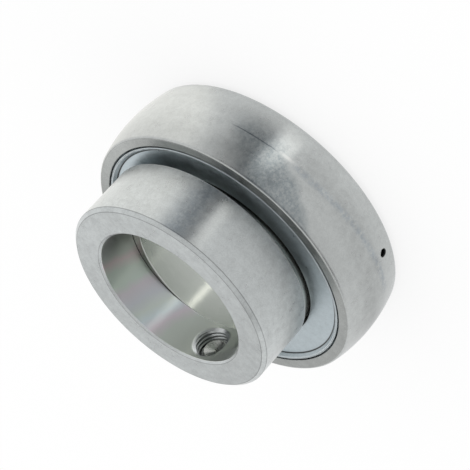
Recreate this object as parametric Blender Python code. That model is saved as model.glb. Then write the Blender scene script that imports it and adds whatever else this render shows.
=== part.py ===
"""Radial insert ball bearing with an eccentric locking collar, set screw and sheet-steel shields.

Units are metres, +Z is up. The bearing stands on the back face of its inner ring with the locking
collar on top. The origin is on the rings' axis, in that back face.
"""
import math

import bmesh
import bpy
from mathutils import Matrix, Vector

MM = 0.001

# Clearances between pieces that touch or run on each other
SEAT_GAP = 0.3 * MM
RACE_CLEARANCE = 0.25 * MM
POCKET_CLEARANCE = 0.25 * MM
COLLAR_CLEARANCE = 0.25 * MM
COLLAR_BORE_CLEARANCE = 0.05 * MM

# Rolling elements and the rings around them, from the bore outwards
BORE_RADIUS = 22.5 * MM
INNER_LAND_WALL = 5.1 * MM
INNER_LAND_TO_PITCH = 4.9 * MM
BALL_RADIUS = 6.35 * MM
BALL_COUNT = 9
PITCH_TO_OUTER_LAND = 3.9 * MM
OUTER_WALL = 3.4 * MM
INNER_LAND_RADIUS = BORE_RADIUS + INNER_LAND_WALL
PITCH_RADIUS = INNER_LAND_RADIUS + INNER_LAND_TO_PITCH
OUTER_LAND_RADIUS = PITCH_RADIUS + PITCH_TO_OUTER_LAND
RACE_RADIUS = BALL_RADIUS + RACE_CLEARANCE
SPHERE_RADIUS = PITCH_RADIUS + RACE_RADIUS + OUTER_WALL

# Pressed two-part cage
CAGE_SHEET = 0.6 * MM
CAGE_WIDTH = 4.4 * MM
RIVET_RADIUS = 0.6 * MM
RIVET_HEAD_RADIUS = 1.15 * MM
RIVET_HEAD_HEIGHT = 0.5 * MM
CAGE_TO_SEAL = 0.4 * MM

# Seals: sheet-steel shield outside, rubber lip, sheet-steel washer inside
SHIELD_SHEET = 0.6 * MM
LIP_THICKNESS = 0.5 * MM
WASHER_THICKNESS = 0.5 * MM
CREASE_DEPTH = 1.1 * MM
SHIELD_BORE_DEPTH = 0.7 * MM
SHIELD_TO_INNER_RING = 0.8 * MM
SEAT_WALL = 1.5 * MM
SNAP_GROOVE_DEPTH = 0.6 * MM
SNAP_GROOVE_WIDTH = 1.1 * MM
RIM_GAP = 0.5 * MM
RIM_WIDTH = 1.4 * MM
SEAL_MARGIN = 0.1 * MM
SEAT_RADIUS = OUTER_LAND_RADIUS + SEAT_WALL
SNAP_RADIUS = SEAT_RADIUS + SNAP_GROOVE_DEPTH
RIM_RADIUS = SEAT_RADIUS - RIM_GAP
CREASE_RADIUS = RIM_RADIUS - RIM_WIDTH
SHIELD_BORE_RADIUS = INNER_LAND_RADIUS + SHIELD_TO_INNER_RING
SEAL_DEPTH = (CREASE_DEPTH + SHIELD_SHEET + SEAT_GAP + LIP_THICKNESS + SEAT_GAP
              + WASHER_THICKNESS + SEAL_MARGIN)

# Widths and heights along the axis
CAGE_CROWN = BALL_RADIUS + POCKET_CLEARANCE + CAGE_SHEET
HALF_WIDTH = CAGE_CROWN + CAGE_TO_SEAL + SEAL_DEPTH
BACK_OVERHANG = 1.4 * MM
SHOULDER_OVERHANG = 1.2 * MM
STUB_LENGTH = 5.6 * MM
COLLAR_SEAT = 0.5 * MM
COLLAR_LENGTH = 18.6 * MM
MID_Z = BACK_OVERHANG + HALF_WIDTH
SHOULDER_Z = MID_Z + HALF_WIDTH + SHOULDER_OVERHANG
STUB_TOP_Z = SHOULDER_Z + STUB_LENGTH
COLLAR_REAR_Z = SHOULDER_Z + COLLAR_SEAT
COLLAR_FRONT_Z = COLLAR_REAR_Z + COLLAR_LENGTH
RECESS_FLOOR_Z = STUB_TOP_Z + SEAT_GAP

# Eccentric seat of the collar, and how far the collar is turned on it from its coaxial place
ECCENTRICITY = 1.5 * MM
STUB_DIRECTION = math.radians(24.4)
COLLAR_TURN = math.radians(146.0)
SHOULDER_MARGIN = 0.1 * MM
COLLAR_RIM_WALL = 3.95 * MM

# Corners
SPHERE_EDGE = 0.35 * MM
SMALL_CHAMFER = 0.2 * MM
BORE_CHAMFER = 0.6 * MM
STUB_CHAMFER = 0.4 * MM
COLLAR_FRONT_CHAMFER = 1.0 * MM
COLLAR_REAR_CHAMFER = 0.8 * MM
STUB_RADIUS = INNER_LAND_RADIUS - SMALL_CHAMFER - SHOULDER_MARGIN - ECCENTRICITY
RECESS_RADIUS = STUB_RADIUS + COLLAR_CLEARANCE
COLLAR_RADIUS = RECESS_RADIUS + ECCENTRICITY + COLLAR_RIM_WALL
COLLAR_BORE_RADIUS = BORE_RADIUS + COLLAR_BORE_CLEARANCE

# Set screw, its hole, and the blind hole for the drift that turns the collar
SCREW_RADIUS = 4.4 * MM
SCREW_LENGTH = 8.0 * MM
SCREW_ANGLE = math.radians(-33.9)
SCREW_FROM_FRONT = 6.95 * MM
SCREW_RECESS = 2.2 * MM
CUP_RADIUS = 3.0 * MM
CUP_RIM = 0.25 * MM
CUP_DEPTH = 1.2 * MM
SCREW_CHAMFER = 0.6 * MM
SOCKET_RADIUS = 2.9 * MM
SOCKET_DEPTH = 4.0 * MM
DRIFT_HOLE_RADIUS = 2.75 * MM
DRIFT_HOLE_DEPTH = 4.0 * MM
DRIFT_ANGLE = SCREW_ANGLE - math.radians(90.0)

# Lubrication hole through the outer ring, beside the back edge of the raceway
LUBE_RADIUS = 1.0 * MM
LUBE_SINK = 0.25 * MM
LUBE_ANGLE = math.radians(223.1)
LUBE_FROM_RACE = 1.0 * MM

# Facets
RING_SEGMENTS = 60
SEAL_SEGMENTS = 48
SCREW_SEGMENTS = 20
SPHERE_STEPS = 3
RACE_STEPS = 4
POCKET_STEPS = 8
PAD_STEPS = 2
CUT_OVER = 3.0 * MM


def material(name, colour, roughness, metallic):
    """Principled material of one piece."""
    made = bpy.data.materials.new(name)
    made.use_nodes = True
    shader = made.node_tree.nodes["Principled BSDF"]
    shader.inputs["Base Color"].default_value = (*colour, 1.0)
    shader.inputs["Roughness"].default_value = roughness
    shader.inputs["Metallic"].default_value = metallic
    return made


def add_object(name, mesh, look, smooth_angle=30.0):
    """Link a mesh as an object with its material and smooth shading."""
    mesh.shade_smooth()
    mesh.set_sharp_from_angle(angle=math.radians(smooth_angle))
    mesh.materials.append(look)
    piece = bpy.data.objects.new(name, mesh)
    bpy.context.collection.objects.link(piece)
    return piece


def circle(bm, radius, height, centre_x, segments):
    """Vertices of one level circle, or a single vertex where the radius is zero."""
    if radius == 0:
        return [bm.verts.new((centre_x, 0, height))]
    step = math.tau / segments
    return [bm.verts.new((centre_x + radius * math.cos(i * step), radius * math.sin(i * step), height))
            for i in range(segments)]


def skin(bm, lower, upper):
    """Faces between two neighbouring circles, either of which may be a single vertex."""
    count = max(len(lower), len(upper))
    for i in range(count):
        j = (i + 1) % count
        if len(lower) == 1:
            bm.faces.new((lower[0], upper[j], upper[i]))
        elif len(upper) == 1:
            bm.faces.new((lower[i], lower[j], upper[0]))
        else:
            bm.faces.new((lower[i], lower[j], upper[j], upper[i]))


def turned(name, profile, segments, closed=True):
    """Mesh through a chain of level circles, each given as radius, height and centre's x."""
    bm = bmesh.new()
    circles = [circle(bm, *point, segments) for point in profile]
    for lower, upper in zip(circles, circles[1:]):
        skin(bm, lower, upper)
    if closed:
        skin(bm, circles[-1], circles[0])
    bmesh.ops.recalc_face_normals(bm, faces=bm.faces)
    mesh = bpy.data.meshes.new(name)
    bm.to_mesh(mesh)
    bm.free()
    return mesh


def coaxial(points, centre_x=0.0):
    """Profile points (radius, height) as circles about one vertical axis."""
    return [(radius, height, centre_x) for radius, height in points]


def arc(centre, radius, start, end, steps):
    """Points (radius from the axis, height) of an arc about a centre in the section plane."""
    angles = [start + (end - start) * i / steps for i in range(steps + 1)]
    return [(centre[0] + radius * math.cos(a), centre[1] + radius * math.sin(a)) for a in angles]


def cutter(name, profile, segments, target, matrix):
    """Turned tool that a Boolean takes out of the target."""
    mesh = turned(name, coaxial(profile), segments, closed=False)
    tool = bpy.data.objects.new(name, mesh)
    bpy.context.collection.objects.link(tool)
    tool.parent = target
    tool.matrix_local = matrix
    tool.hide_render = True
    tool.display_type = "WIRE"
    cut = target.modifiers.new(name, "BOOLEAN")
    cut.operation = "DIFFERENCE"
    cut.solver = "EXACT"
    cut.object = tool
    return tool


def radial_frame(angle, height, centre_x=0.0):
    """Frame whose +Z points radially outwards from the axis at centre_x, at a height."""
    turn = Matrix.Rotation(angle, 4, "Z") @ Matrix.Rotation(math.radians(90.0), 4, "Y")
    return Matrix.Translation(Vector((centre_x, 0, height))) @ turn


def race_edge(land_radius):
    """Distance from the mid plane at which a raceway of circular section meets its land."""
    return math.sqrt(RACE_RADIUS**2 - (land_radius - PITCH_RADIUS)**2)


def make_outer_ring(steel):
    """Outer ring: spherical outside, deep raceway, and a stepped seat for a seal at each face."""
    edge_angle = math.asin((HALF_WIDTH - SPHERE_EDGE) / SPHERE_RADIUS)
    face_radius = math.sqrt(SPHERE_RADIUS**2 - HALF_WIDTH**2) - SPHERE_EDGE
    groove_floor = HALF_WIDTH - CREASE_DEPTH - SHIELD_SHEET - SNAP_GROOVE_WIDTH - SMALL_CHAMFER
    groove_top = groove_floor + SNAP_GROOVE_WIDTH
    edge = race_edge(OUTER_LAND_RADIUS)
    half = arc((0, 0), SPHERE_RADIUS, 0, edge_angle, SPHERE_STEPS)
    half += [
        (face_radius, HALF_WIDTH),
        (SEAT_RADIUS + SMALL_CHAMFER, HALF_WIDTH),
        (SEAT_RADIUS, HALF_WIDTH - SMALL_CHAMFER),
        (SEAT_RADIUS, groove_top + SMALL_CHAMFER),
        (SNAP_RADIUS, groove_top),
        (SNAP_RADIUS, groove_floor),
        (OUTER_LAND_RADIUS + SMALL_CHAMFER, groove_floor),
        (OUTER_LAND_RADIUS, groove_floor - SMALL_CHAMFER),
    ]
    half += arc((PITCH_RADIUS, 0), RACE_RADIUS, math.asin(edge / RACE_RADIUS), 0, RACE_STEPS)
    profile = half + [(radius, -height) for radius, height in reversed(half[1:-1])]
    ring = add_object("outer_ring", turned("outer_ring", coaxial(profile), RING_SEGMENTS), steel)
    ring.location.z = MID_Z
    lube_height = -edge - LUBE_FROM_RACE
    surface = math.sqrt(SPHERE_RADIUS**2 - lube_height**2)
    tool = [
        (0, PITCH_RADIUS),
        (LUBE_RADIUS, PITCH_RADIUS),
        (LUBE_RADIUS, surface - LUBE_SINK),
        (LUBE_RADIUS + CUT_OVER, surface + CUT_OVER - LUBE_SINK),
        (0, surface + CUT_OVER - LUBE_SINK),
    ]
    cutter("lube_hole_cutter", tool, SCREW_SEGMENTS // 2, ring, radial_frame(LUBE_ANGLE, lube_height))


def make_inner_ring(steel):
    """Inner ring: plain bore, raceway, seal lands, and an eccentric stub above its shoulder."""
    edge = race_edge(INNER_LAND_RADIUS)
    reach = math.asin(edge / RACE_RADIUS)
    profile = coaxial([
        (BORE_RADIUS, BORE_CHAMFER),
        (BORE_RADIUS + BORE_CHAMFER, 0),
        (INNER_LAND_RADIUS - BORE_CHAMFER, 0),
        (INNER_LAND_RADIUS, BORE_CHAMFER),
    ])
    profile += coaxial(arc((PITCH_RADIUS, MID_Z), RACE_RADIUS, math.pi + reach, math.pi - reach,
                           2 * RACE_STEPS))
    profile += coaxial([
        (INNER_LAND_RADIUS, SHOULDER_Z - SMALL_CHAMFER),
        (INNER_LAND_RADIUS - SMALL_CHAMFER, SHOULDER_Z),
    ])
    profile += coaxial([
        (STUB_RADIUS, SHOULDER_Z),
        (STUB_RADIUS, STUB_TOP_Z - STUB_CHAMFER),
        (STUB_RADIUS - STUB_CHAMFER, STUB_TOP_Z),
    ], ECCENTRICITY)
    profile += coaxial([
        (BORE_RADIUS + STUB_CHAMFER, STUB_TOP_Z),
        (BORE_RADIUS, STUB_TOP_Z - STUB_CHAMFER),
    ])
    ring = add_object("inner_ring", turned("inner_ring", profile, RING_SEGMENTS), steel)
    ring.rotation_euler.z = STUB_DIRECTION


def make_balls(steel):
    """Nine balls on the pitch circle, each with its origin at its own centre."""
    bm = bmesh.new()
    bmesh.ops.create_uvsphere(bm, u_segments=16, v_segments=8, radius=BALL_RADIUS)
    mesh = bpy.data.meshes.new("ball")
    bm.to_mesh(mesh)
    bm.free()
    mesh.shade_smooth()
    mesh.materials.append(steel)
    for i in range(BALL_COUNT):
        angle = math.tau * i / BALL_COUNT
        ball = bpy.data.objects.new(f"ball_{i + 1}", mesh)
        ball.location = (PITCH_RADIUS * math.cos(angle), PITCH_RADIUS * math.sin(angle), MID_Z)
        bpy.context.collection.objects.link(ball)


def pocket_line(radius, height):
    """Half of one cage pitch: along the pocket's arc from its crown, then along the pad."""
    foot = math.asin(height / radius)
    points = [(radius * math.sin(a), radius * math.cos(a))
              for a in [(math.pi / 2 - foot) * i / (POCKET_STEPS / 2) for i in range(POCKET_STEPS // 2 + 1)]]
    half_pitch = math.pi * PITCH_RADIUS / BALL_COUNT
    start = points[-1][0]
    points += [(start + (half_pitch - start) * i / PAD_STEPS, height) for i in range(1, PAD_STEPS + 1)]
    return points


def whole_pitch(half):
    """Mirror half a pitch about the pocket's crown, leaving out the shared end point."""
    return [(-s, z) for s, z in reversed(half[1:])] + half[:-1]


def make_cage_half(name, side, steel):
    """Pressed ribbon with a rounded pocket over each ball and a riveted pad between pockets."""
    pad = SEAT_GAP / 2
    inside = whole_pitch(pocket_line(BALL_RADIUS + POCKET_CLEARANCE, pad))
    outside = whole_pitch(pocket_line(BALL_RADIUS + POCKET_CLEARANCE + CAGE_SHEET, pad + CAGE_SHEET))
    bm = bmesh.new()
    sections = []
    for ball in range(BALL_COUNT):
        for near, far in zip(inside, outside):
            section = []
            for edge, (s, z) in ((-1, near), (1, near), (1, far), (-1, far)):
                angle = math.tau * ball / BALL_COUNT + s / PITCH_RADIUS
                radius = PITCH_RADIUS + edge * CAGE_WIDTH / 2
                place = (radius * math.cos(angle), radius * math.sin(angle), side * z)
                section.append(bm.verts.new(place))
            sections.append(section)
    for i, section in enumerate(sections):
        skin(bm, section, sections[(i + 1) % len(sections)])
    bmesh.ops.recalc_face_normals(bm, faces=bm.faces)
    mesh = bpy.data.meshes.new(name)
    bm.to_mesh(mesh)
    bm.free()
    half = add_object(name, mesh, steel)
    half.location.z = MID_Z
    hole = RIVET_RADIUS + SEAT_GAP
    reach = CAGE_SHEET + CUT_OVER
    drills = bmesh.new()
    for i in range(BALL_COUNT):
        angle = math.tau * (i + 0.5) / BALL_COUNT
        place = Matrix.Rotation(angle, 4, "Z") @ Matrix.Translation(Vector((PITCH_RADIUS, 0, 0)))
        bmesh.ops.create_cone(drills, cap_ends=True, segments=8, radius1=hole, radius2=hole,
                              depth=2 * reach, matrix=place)
    drill_mesh = bpy.data.meshes.new(name + "_drills")
    drills.to_mesh(drill_mesh)
    drills.free()
    drill = bpy.data.objects.new(name + "_drills", drill_mesh)
    bpy.context.collection.objects.link(drill)
    drill.location.z = MID_Z
    drill.hide_render = True
    drill.display_type = "WIRE"
    cut = half.modifiers.new("rivet_holes", "BOOLEAN")
    cut.operation = "DIFFERENCE"
    cut.solver = "EXACT"
    cut.object = drill


def make_rivets(steel):
    """Rivets that hold the two cage halves together, one in each pad."""
    grip = SEAT_GAP / 2 + CAGE_SHEET + SEAT_GAP
    profile = [
        (0, -grip - RIVET_HEAD_HEIGHT),
        (RIVET_HEAD_RADIUS, -grip - RIVET_HEAD_HEIGHT / 2),
        (RIVET_HEAD_RADIUS, -grip),
        (RIVET_RADIUS, -grip),
        (RIVET_RADIUS, grip),
        (RIVET_HEAD_RADIUS, grip),
        (RIVET_HEAD_RADIUS, grip + RIVET_HEAD_HEIGHT / 2),
        (0, grip + RIVET_HEAD_HEIGHT),
    ]
    mesh = turned("rivet", coaxial(profile), 8, closed=False)
    mesh.shade_smooth()
    mesh.set_sharp_from_angle(angle=math.radians(50.0))
    mesh.materials.append(steel)
    for i in range(BALL_COUNT):
        angle = math.tau * (i + 0.5) / BALL_COUNT
        rivet = bpy.data.objects.new(f"cage_rivet_{i + 1}", mesh)
        rivet.location = (PITCH_RADIUS * math.cos(angle), PITCH_RADIUS * math.sin(angle), MID_Z)
        bpy.context.collection.objects.link(rivet)


def shield_depth(radius):
    """Depth of the shield's outer surface below the ring's face, between crease and bore."""
    share = (CREASE_RADIUS - radius) / (CREASE_RADIUS - SHIELD_BORE_RADIUS)
    return CREASE_DEPTH + share * (SHIELD_BORE_DEPTH - CREASE_DEPTH)


def sided(points, side):
    """Profile given as radius and depth below a face, as heights on that side of the ring."""
    return coaxial([(radius, side * (HALF_WIDTH - depth)) for radius, depth in points])


def make_seal(side, word, zinc, rubber, steel):
    """Seal of one side: beaded shield snapped into the ring, lip on the inner ring, back washer."""
    bead_depth = CREASE_DEPTH + SHIELD_SHEET + SNAP_GROOVE_WIDTH + SMALL_CHAMFER - SEAT_GAP
    bead_top = CREASE_DEPTH + SHIELD_SHEET + SMALL_CHAMFER + SMALL_CHAMFER
    bead_radius = SNAP_RADIUS - SEAT_GAP
    shield = [
        (RIM_RADIUS, SMALL_CHAMFER / 4),
        (CREASE_RADIUS, CREASE_DEPTH),
        (SHIELD_BORE_RADIUS, SHIELD_BORE_DEPTH),
        (SHIELD_BORE_RADIUS, SHIELD_BORE_DEPTH + SHIELD_SHEET),
        (CREASE_RADIUS - SHIELD_SHEET / 2, CREASE_DEPTH + SHIELD_SHEET),
        (CREASE_RADIUS + SHIELD_SHEET / 2, bead_depth),
        (bead_radius, bead_depth),
        (bead_radius, bead_top),
        (RIM_RADIUS, bead_top - SEAT_GAP),
    ]
    outer = CREASE_RADIUS - SHIELD_SHEET
    inner = SHIELD_BORE_RADIUS + RIM_WIDTH
    lip = INNER_LAND_RADIUS + SEAT_GAP
    lip_under = SHIELD_SHEET + SEAT_GAP
    washer_under = lip_under + LIP_THICKNESS + SEAT_GAP
    rubber_profile = [
        (outer, shield_depth(outer) + lip_under),
        (inner, shield_depth(inner) + lip_under),
        (lip, shield_depth(inner) + lip_under + LIP_THICKNESS),
        (lip, shield_depth(inner) + lip_under + LIP_THICKNESS + SMALL_CHAMFER),
        (inner, shield_depth(inner) + lip_under + LIP_THICKNESS),
        (outer, shield_depth(outer) + lip_under + LIP_THICKNESS),
    ]
    washer_profile = [
        (outer, shield_depth(outer) + washer_under),
        (inner, shield_depth(inner) + washer_under),
        (inner, shield_depth(inner) + washer_under + WASHER_THICKNESS),
        (outer, shield_depth(outer) + washer_under + WASHER_THICKNESS),
    ]
    pieces = (
        (f"{word}_shield", shield, RING_SEGMENTS, zinc),
        (f"{word}_seal_lip", rubber_profile, SEAL_SEGMENTS, rubber),
        (f"{word}_seal_washer", washer_profile, SEAL_SEGMENTS, steel),
    )
    for name, points, segments, look in pieces:
        piece = add_object(name, turned(name, sided(points, side), segments), look)
        piece.location.z = MID_Z


def make_collar(steel, black):
    """Locking collar on the eccentric stub, and the set screw that clamps it to a shaft.

    Both are modelled about the stub's axis, with the collar's own axis at -X, and then turned.
    """
    own = -ECCENTRICITY
    profile = coaxial([
        (RECESS_RADIUS + SMALL_CHAMFER, COLLAR_REAR_Z),
        (RECESS_RADIUS, COLLAR_REAR_Z + SMALL_CHAMFER),
        (RECESS_RADIUS, RECESS_FLOOR_Z),
    ])
    profile += coaxial([
        (COLLAR_BORE_RADIUS, RECESS_FLOOR_Z),
        (COLLAR_BORE_RADIUS, COLLAR_FRONT_Z - BORE_CHAMFER),
        (COLLAR_BORE_RADIUS + BORE_CHAMFER, COLLAR_FRONT_Z),
        (COLLAR_RADIUS - COLLAR_FRONT_CHAMFER, COLLAR_FRONT_Z),
        (COLLAR_RADIUS, COLLAR_FRONT_Z - COLLAR_FRONT_CHAMFER),
        (COLLAR_RADIUS, COLLAR_REAR_Z + COLLAR_REAR_CHAMFER),
        (COLLAR_RADIUS - COLLAR_REAR_CHAMFER, COLLAR_REAR_Z),
    ], own)
    collar = add_object("locking_collar", turned("locking_collar", profile, RING_SEGMENTS), steel)
    collar.location = (ECCENTRICITY * math.cos(STUB_DIRECTION),
                       ECCENTRICITY * math.sin(STUB_DIRECTION), 0)
    collar.rotation_euler.z = STUB_DIRECTION + COLLAR_TURN

    screw_z = COLLAR_FRONT_Z - SCREW_FROM_FRONT
    hole = SCREW_RADIUS + SEAT_GAP
    through = [
        (0, COLLAR_BORE_RADIUS - CUT_OVER),
        (hole, COLLAR_BORE_RADIUS - CUT_OVER),
        (hole, COLLAR_RADIUS + CUT_OVER),
        (0, COLLAR_RADIUS + CUT_OVER),
    ]
    cutter("screw_hole_cutter", through, SCREW_SEGMENTS, collar, radial_frame(SCREW_ANGLE, screw_z, own))
    blind = [
        (0, COLLAR_RADIUS - DRIFT_HOLE_DEPTH),
        (DRIFT_HOLE_RADIUS, COLLAR_RADIUS - DRIFT_HOLE_DEPTH + BORE_CHAMFER),
        (DRIFT_HOLE_RADIUS, COLLAR_RADIUS + CUT_OVER),
        (0, COLLAR_RADIUS + CUT_OVER),
    ]
    cutter("drift_hole_cutter", blind, SCREW_SEGMENTS, collar, radial_frame(DRIFT_ANGLE, screw_z, own))

    tip = COLLAR_BORE_RADIUS + SCREW_RECESS
    body = [
        (0, CUP_DEPTH),
        (CUP_RADIUS, 0),
        (CUP_RADIUS + CUP_RIM, 0),
        (SCREW_RADIUS, SCREW_RADIUS - CUP_RADIUS - CUP_RIM),
        (SCREW_RADIUS, SCREW_LENGTH - SCREW_CHAMFER),
        (SCREW_RADIUS - SCREW_CHAMFER, SCREW_LENGTH),
        (0, SCREW_LENGTH),
    ]
    mesh = turned("grub_screw", coaxial(body), SCREW_SEGMENTS, closed=False)
    screw = add_object("grub_screw", mesh, black)
    screw.parent = collar
    screw.matrix_local = (radial_frame(SCREW_ANGLE, screw_z, own)
                          @ Matrix.Translation(Vector((0, 0, tip))))
    socket = [
        (0, SCREW_LENGTH - SOCKET_DEPTH),
        (SOCKET_RADIUS, SCREW_LENGTH - SOCKET_DEPTH),
        (SOCKET_RADIUS, SCREW_LENGTH + CUT_OVER),
        (0, SCREW_LENGTH + CUT_OVER),
    ]
    cutter("hex_socket_cutter", socket, 6, screw, Matrix.Identity(4))


def main():
    for old in list(bpy.data.objects):
        bpy.data.objects.remove(old, do_unlink=True)
    ground_steel = material("ground_steel", (0.62, 0.63, 0.64), 0.28, 1.0)
    turned_steel = material("turned_steel", (0.66, 0.67, 0.68), 0.35, 1.0)
    zinc_sheet = material("zinc_sheet", (0.55, 0.60, 0.64), 0.30, 1.0)
    cage_steel = material("cage_steel", (0.48, 0.49, 0.50), 0.40, 1.0)
    ball_steel = material("ball_steel", (0.75, 0.76, 0.77), 0.08, 1.0)
    seal_rubber = material("seal_rubber", (0.02, 0.02, 0.02), 0.60, 0.0)
    black_steel = material("black_steel", (0.18, 0.18, 0.18), 0.35, 1.0)
    make_outer_ring(ground_steel)
    make_inner_ring(ground_steel)
    make_balls(ball_steel)
    make_cage_half("cage_front", 1, cage_steel)
    make_cage_half("cage_back", -1, cage_steel)
    make_rivets(cage_steel)
    make_seal(1, "front", zinc_sheet, seal_rubber, cage_steel)
    make_seal(-1, "back", zinc_sheet, seal_rubber, cage_steel)
    make_collar(turned_steel, black_steel)


main()
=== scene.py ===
"""Radial insert ball bearing with an eccentric locking collar, dressed for a product picture."""
import math

import bpy
import numpy as np
from mathutils import Matrix


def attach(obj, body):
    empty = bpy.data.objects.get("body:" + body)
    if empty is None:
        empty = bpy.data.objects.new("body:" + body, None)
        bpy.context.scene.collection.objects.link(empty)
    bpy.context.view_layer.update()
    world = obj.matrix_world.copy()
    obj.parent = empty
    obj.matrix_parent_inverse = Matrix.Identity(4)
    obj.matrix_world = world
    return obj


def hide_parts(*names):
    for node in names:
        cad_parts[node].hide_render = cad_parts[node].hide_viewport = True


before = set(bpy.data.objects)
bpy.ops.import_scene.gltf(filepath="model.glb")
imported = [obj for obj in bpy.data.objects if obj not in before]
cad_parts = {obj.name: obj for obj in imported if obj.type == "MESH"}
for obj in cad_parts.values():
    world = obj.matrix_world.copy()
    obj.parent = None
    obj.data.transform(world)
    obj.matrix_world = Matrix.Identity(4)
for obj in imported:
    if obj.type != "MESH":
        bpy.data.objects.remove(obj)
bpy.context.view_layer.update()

# Outer ring: bearing steel, turned, hardened and ground. It is spherical outside, so that it can tilt in
# its housing, with a raceway and a stepped seal seat at each face inside, and a lubrication hole.
MM = 0.001
UP = np.array([0.0, 0.0, 1.0])
RING_MID_Z = 12.4 * MM
RING_HALF_WIDTH = 11.0 * MM
SPHERE_RADIUS = 42.5 * MM
PITCH_RADIUS = 32.5 * MM
RACE_RADIUS = 6.6 * MM
OUTER_LAND_RADIUS = 36.4 * MM
OUTER_LAND_TOP = 7.7 * MM
OUTER_LAND_END = 5.42 * MM
SEAL_SEAT_RADIUS = 37.9 * MM
SNAP_GROOVE_RADIUS = 38.5 * MM
SNAP_GROOVE_TOP = 9.1 * MM
SNAP_GROOVE_FLOOR = 8.0 * MM
RING_COLUMNS = 288
SPHERE_ROWS = 16
SPHERE_END = math.asin((RING_HALF_WIDTH - 0.95 * MM) / SPHERE_RADIUS)
LAND_ROWS = 8
LUBE_ANGLE = math.radians(223.1)
LUBE_HEIGHT = -6.325 * MM
LUBE_RIM_RADIUS = 1.25 * MM
LUBE_RADIUS = 1.0 * MM
LUBE_DUCT_RADIUS = 0.8 * MM
LUBE_WINDOW = 4


def place_object(mesh, look):
    """Object at the origin that shows a mesh in a material."""
    mesh.materials.append(look)
    made = bpy.data.objects.new(mesh.name, mesh)
    bpy.context.collection.objects.link(made)
    return made


class Shell:
    """Points, faces, and worn edges with painted highlight and painted shade, of one piece, gathered as
    grids of point numbers.
    """

    def __init__(self):
        self.points = []
        self.wear_and_shade = []
        self.faces = []
        self.count = 0

    def add(self, points, wear_and_shade=0.0):
        """Store a grid of points and return their numbers in a grid of the same shape."""
        grid = points.shape[:-1]
        numbers = self.count + np.arange(math.prod(grid)).reshape(grid)
        self.points.append(points.reshape(-1, 3))
        self.wear_and_shade.append(np.broadcast_to(wear_and_shade, grid).reshape(-1))
        self.count += numbers.size
        return numbers

    def join(self, *parts, closed=False, keep=None, flip=False):
        """Quads between neighbouring rows of grids of numbers whose columns go all the way round."""
        rows = np.concatenate([np.atleast_2d(part) for part in parts])
        near = rows if closed else rows[:-1]
        far = np.roll(rows, -1, axis=0) if closed else rows[1:]
        quads = np.stack([near, np.roll(near, -1, axis=1), np.roll(far, -1, axis=1), far], axis=2)
        quads = quads[..., ::-1] if flip else quads
        quads = quads.reshape(-1, 4) if keep is None else quads[keep]
        self.faces += quads.tolist()

    def pole(self, row, point, flip=False):
        """Triangles from one row of numbers to a single point."""
        tip = self.add(np.array([point]))[0]
        fan = np.stack([row, np.roll(row, -1), np.full_like(row, tip)], axis=1)
        self.faces += (fan[:, ::-1] if flip else fan).tolist()

    def piece(self, name, look):
        """The finished object, smooth, at the origin, with its worn edges, painted highlight and painted
        shade as an attribute.
        """
        mesh = bpy.data.meshes.new(name)
        mesh.from_pydata(np.concatenate(self.points), [], self.faces)
        wear_and_shade = mesh.attributes.new("wear_and_shade", "FLOAT", "POINT")
        wear_and_shade.data.foreach_set("value", np.concatenate(self.wear_and_shade).astype(np.float32))
        mesh.shade_smooth()
        return place_object(mesh, look)


def flat_line(points):
    """Section points (radius, height) with no edge wear."""
    points = np.asarray(points, float)
    return np.column_stack([points, np.zeros(len(points))])


def arc_line(centre, radius, start, end, steps):
    """Section points on an arc: centre plus radius times the cosine and sine of evenly spaced angles."""
    angle = np.linspace(start, end, steps + 1)
    return flat_line(np.column_stack([centre[0] + radius * np.cos(angle),
                                      centre[1] + radius * np.sin(angle)]))


def rounded_line(corners, steps=4, support=0.5, wear_and_shade=1.0, shaded_arcs=(), shade_level=-0.45):
    """Section points (radius, height, wear) that go round each corner (radius, height, fillet).

    The first and last corner only guide the line. At each other one, an arc of the fillet's radius
    touches both sides at fillet / tan(half the corner's angle) from the corner, and is swept from one
    touching point to the other. A point before and one after it keep the sides flat. Wear is 1 on a
    rubbed, bright arc, 2 on a matt, tumbled one and below 0 on the arcs, named in shaded_arcs, that are
    painted dark as shade.
    """
    corners = np.asarray(corners, float)
    place, fillet = corners[1:-1, :2], corners[1:-1, 2:]
    back = corners[:-2, :2] - place
    on = corners[2:, :2] - place
    back /= np.linalg.norm(back, axis=1, keepdims=True)
    on /= np.linalg.norm(on, axis=1, keepdims=True)
    half = np.arccos(np.clip(np.sum(back * on, axis=1, keepdims=True), -1, 1)) / 2
    reach = fillet / np.tan(half)
    middle = (back + on) / np.linalg.norm(back + on, axis=1, keepdims=True)
    centre = place + middle * fillet / np.sin(half)
    first = place + back * reach - centre
    last = place + on * reach - centre
    sweep = (math.pi - 2 * half)[:, None]
    share = np.linspace(0, 1, steps + 1)[None, :, None]
    arc = centre[:, None] + (np.sin((1 - share) * sweep) * first[:, None]
                             + np.sin(share * sweep) * last[:, None]) / np.sin(sweep)
    before = place + back * (reach + support * fillet)
    after = place + on * (reach + support * fillet)
    line = np.concatenate([before[:, None], arc, after[:, None]], axis=1)
    finish = np.zeros(line.shape[:2] + (1,))
    finish[:, 1:-1] = wear_and_shade
    finish[list(shaded_arcs), 1:-1] = shade_level
    return np.concatenate([line, finish], axis=2).reshape(-1, 3)


def mirrored(line):
    """A section line's other half below height 0, in running order."""
    return (line * [1, -1, 1])[::-1]


def spun(shell, line, columns, centre=(0.0, 0.0), start=0.0):
    """Turn a section line about a vertical axis: each point (r, z) becomes centre + r (cos, sin), z."""
    angle = start + math.tau * np.arange(columns) / columns
    radius = line[:, :1]
    points = np.stack([centre[0] + radius * np.cos(angle), centre[1] + radius * np.sin(angle),
                       np.broadcast_to(line[:, 1:2], (len(line), columns))], axis=2)
    return shell.add(points, line[:, 2:])


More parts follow.
